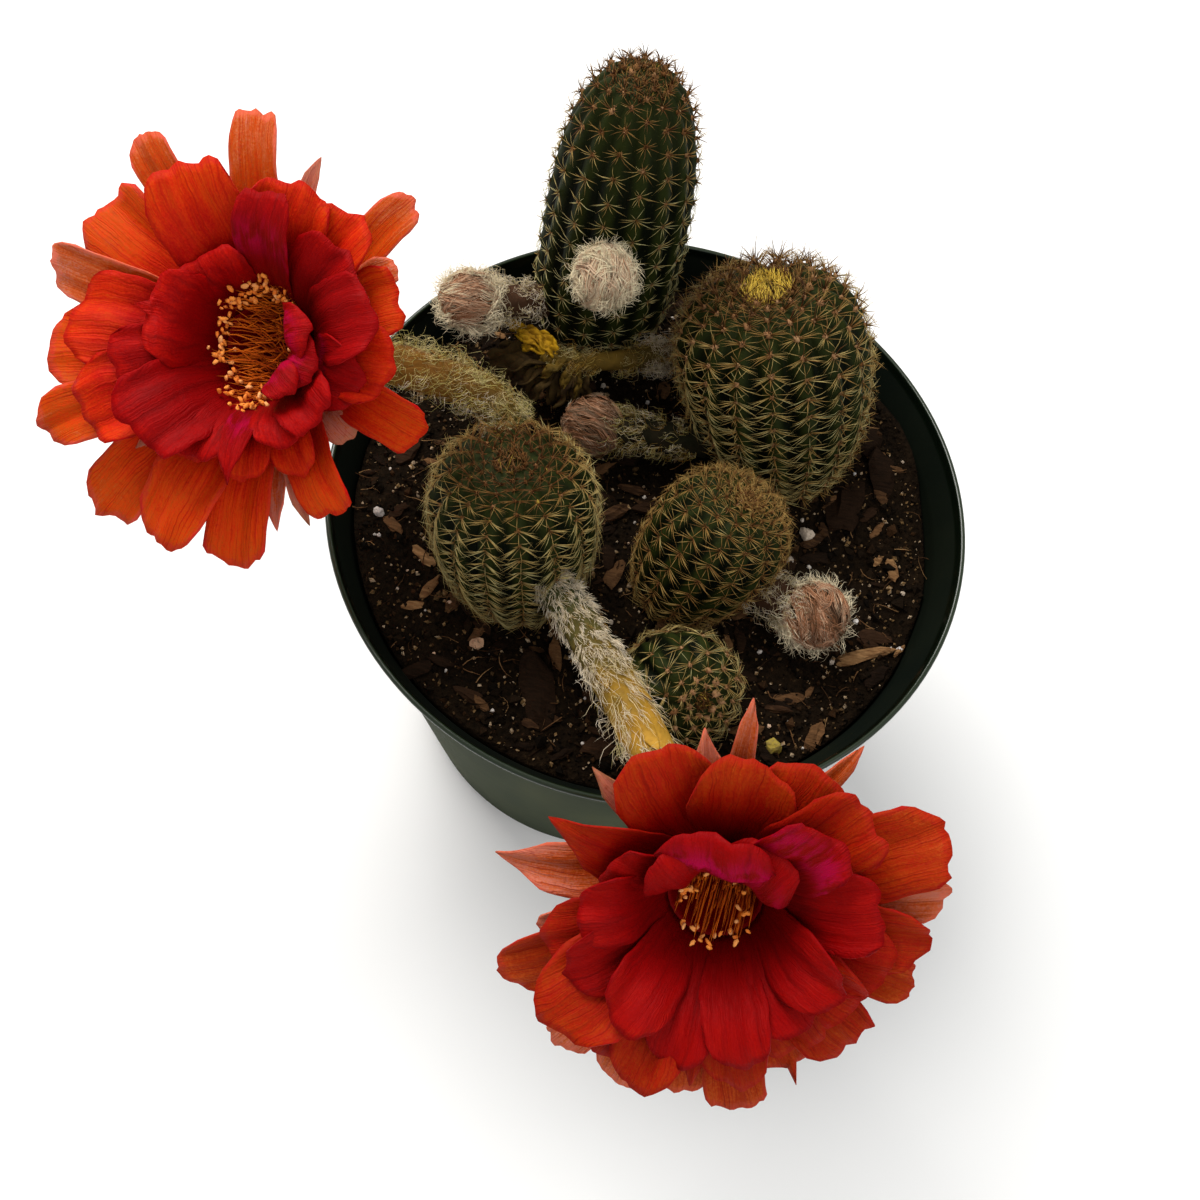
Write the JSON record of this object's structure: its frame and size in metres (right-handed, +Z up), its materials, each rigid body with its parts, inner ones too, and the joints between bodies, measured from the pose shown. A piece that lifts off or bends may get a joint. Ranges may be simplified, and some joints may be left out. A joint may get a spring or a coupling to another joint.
{
  "type": "potted peanut cactus",
  "caption": "Potted peanut cactus: ribbed spiny stems in a dark green nursery pot of soil, with woolly buds and wide red-orange flowers.",
  "frame": {"origin": "centre of the pot's flat foot, on the surface it stands on", "axes": "+Z up along the pot's axis; -Y to the front, where the open front flower hangs over the rim; +Y to the tall column at the back"},
  "size_m": [0.1983, 0.2059, 0.1915],
  "materials": {
    "pot_plastic": "dark green thin moulded plastic, satin, a little dusty",
    "soil": "damp bark and peat potting mix with perlite and chips",
    "stem_skin": "dark green cactus skin with straw-coloured spines on the ribs",
    "bud_wool": "dense cream and brown plant wool",
    "tube_wool": "yellow-olive flower tube with scales and pale wool",
    "withered": "dry yellow-brown plant tissue",
    "petal": "thin satin petals, crimson inside and orange outside",
    "stamen": "brown-orange filaments with peach-orange anthers"
  },
  "bodies": {
    "root": {"pot": "pot_plastic", "soil": "soil", "stem_column": "stem_skin", "stem_barrel": "stem_skin", "stem_left": "stem_skin", "stem_right": "stem_skin", "stem_small": "stem_skin", "bud_back_left": "bud_wool", "bud_column": "bud_wool", "bud_middle": "bud_wool", "bud_right": "bud_wool", "spent_flower": "withered", "flower_left_tube": "tube_wool", "flower_left_petals": "petal", "flower_left_stamens": "stamen", "flower_front_tube": "tube_wool", "flower_front_petals": "petal", "flower_front_stamens": "stamen"}
  },
  "joints": []
}
